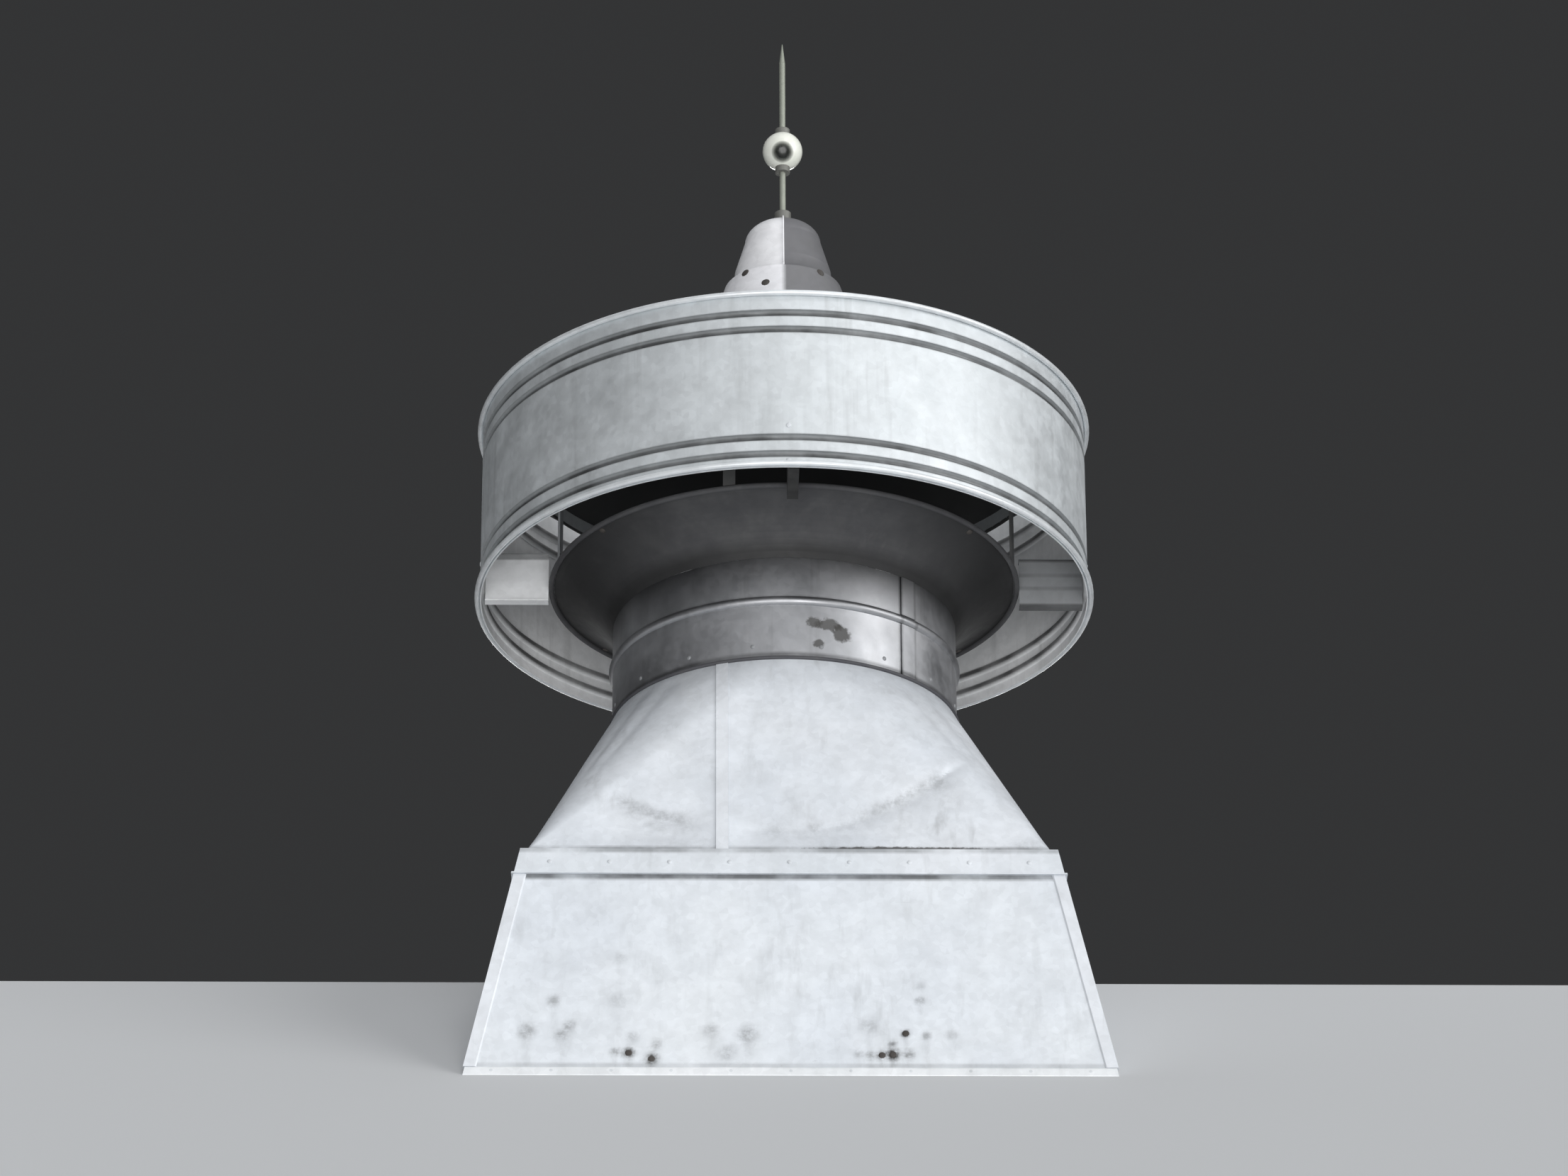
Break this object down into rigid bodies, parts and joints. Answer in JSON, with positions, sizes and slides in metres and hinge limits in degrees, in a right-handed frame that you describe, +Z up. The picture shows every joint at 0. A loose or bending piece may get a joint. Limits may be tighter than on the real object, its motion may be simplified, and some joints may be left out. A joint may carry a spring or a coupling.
{
  "type": "sheet-metal roof ridge ventilator cupola with lightning rod",
  "caption": "Round sheet-metal ridge ventilator on a square base notched for a roof ridge, with wind band, storm cap and lightning rod finial.",
  "frame": {"origin": "middle of the base, level with its lower front and back edges", "axes": "+Z up along the rod, X along the roof ridge, front towards -Y"},
  "size_m": [1.3804, 1.3806, 2.8417],
  "materials": {
    "skirt_sheet": "weathered galvanised sheet, pale and matt",
    "cleat_sheet": "weathered galvanised sheet, pale and matt",
    "transition_sheet": "weathered galvanised sheet with handling marks",
    "throat_sheet": "weathered galvanised sheet, duller",
    "mouth_sheet": "darkened galvanised sheet",
    "band_sheet": "weathered galvanised sheet",
    "rolled_edge": "galvanised sheet rolled over a wire",
    "seam_strip": "galvanised sheet, folded and soldered",
    "bracket_steel": "galvanised flat bar",
    "cap_sheet": "weathered galvanised sheet",
    "finial_bright": "galvanised sheet, bright",
    "finial_dull": "galvanised sheet, dull",
    "socket_metal": "galvanised casting",
    "rod_metal": "weathered rod",
    "ball_glass": "pale pressed glass"
  },
  "bodies": {
    "root": {"skirt_front": "skirt_sheet", "skirt_back": "skirt_sheet", "skirt_left": "skirt_sheet", "skirt_right": "skirt_sheet", "hip_seam_front_left": "seam_strip", "hip_seam_front_right": "seam_strip", "hip_seam_back_right": "seam_strip", "hip_seam_back_left": "seam_strip", "cleat_front": "cleat_sheet", "cleat_right": "cleat_sheet", "cleat_back": "cleat_sheet", "cleat_left": "cleat_sheet", "transition_left": "transition_sheet", "transition_right": "transition_sheet", "transition_seam_front": "seam_strip", "transition_seam_back": "seam_strip", "throat_collar": "throat_sheet", "throat_tube": "throat_sheet", "throat_seam": "seam_strip", "flared_mouth": "mouth_sheet", "mouth_rim": "rolled_edge", "wind_band": "band_sheet", "band_top_roll": "rolled_edge", "band_bottom_roll": "rolled_edge", "band_seam": "seam_strip", "band_bracket_1": "bracket_steel", "band_bracket_2": "bracket_steel", "band_bracket_3": "bracket_steel", "band_bracket_4": "bracket_steel", "cap_strut_1": "bracket_steel", "cap_strut_2": "bracket_steel", "cap_strut_3": "bracket_steel", "cap_strut_4": "bracket_steel", "cap_cone": "cap_sheet", "cap_rim": "cap_sheet", "finial_foot": "cap_sheet", "finial_left": "finial_bright", "finial_right": "finial_dull", "finial_seam": "seam_strip", "rod_socket": "socket_metal", "lightning_rod": "rod_metal", "ball_collar_lower": "socket_metal", "glass_ball": "ball_glass", "ball_collar_upper": "socket_metal", "rod_point": "rod_metal"}
  },
  "joints": []
}
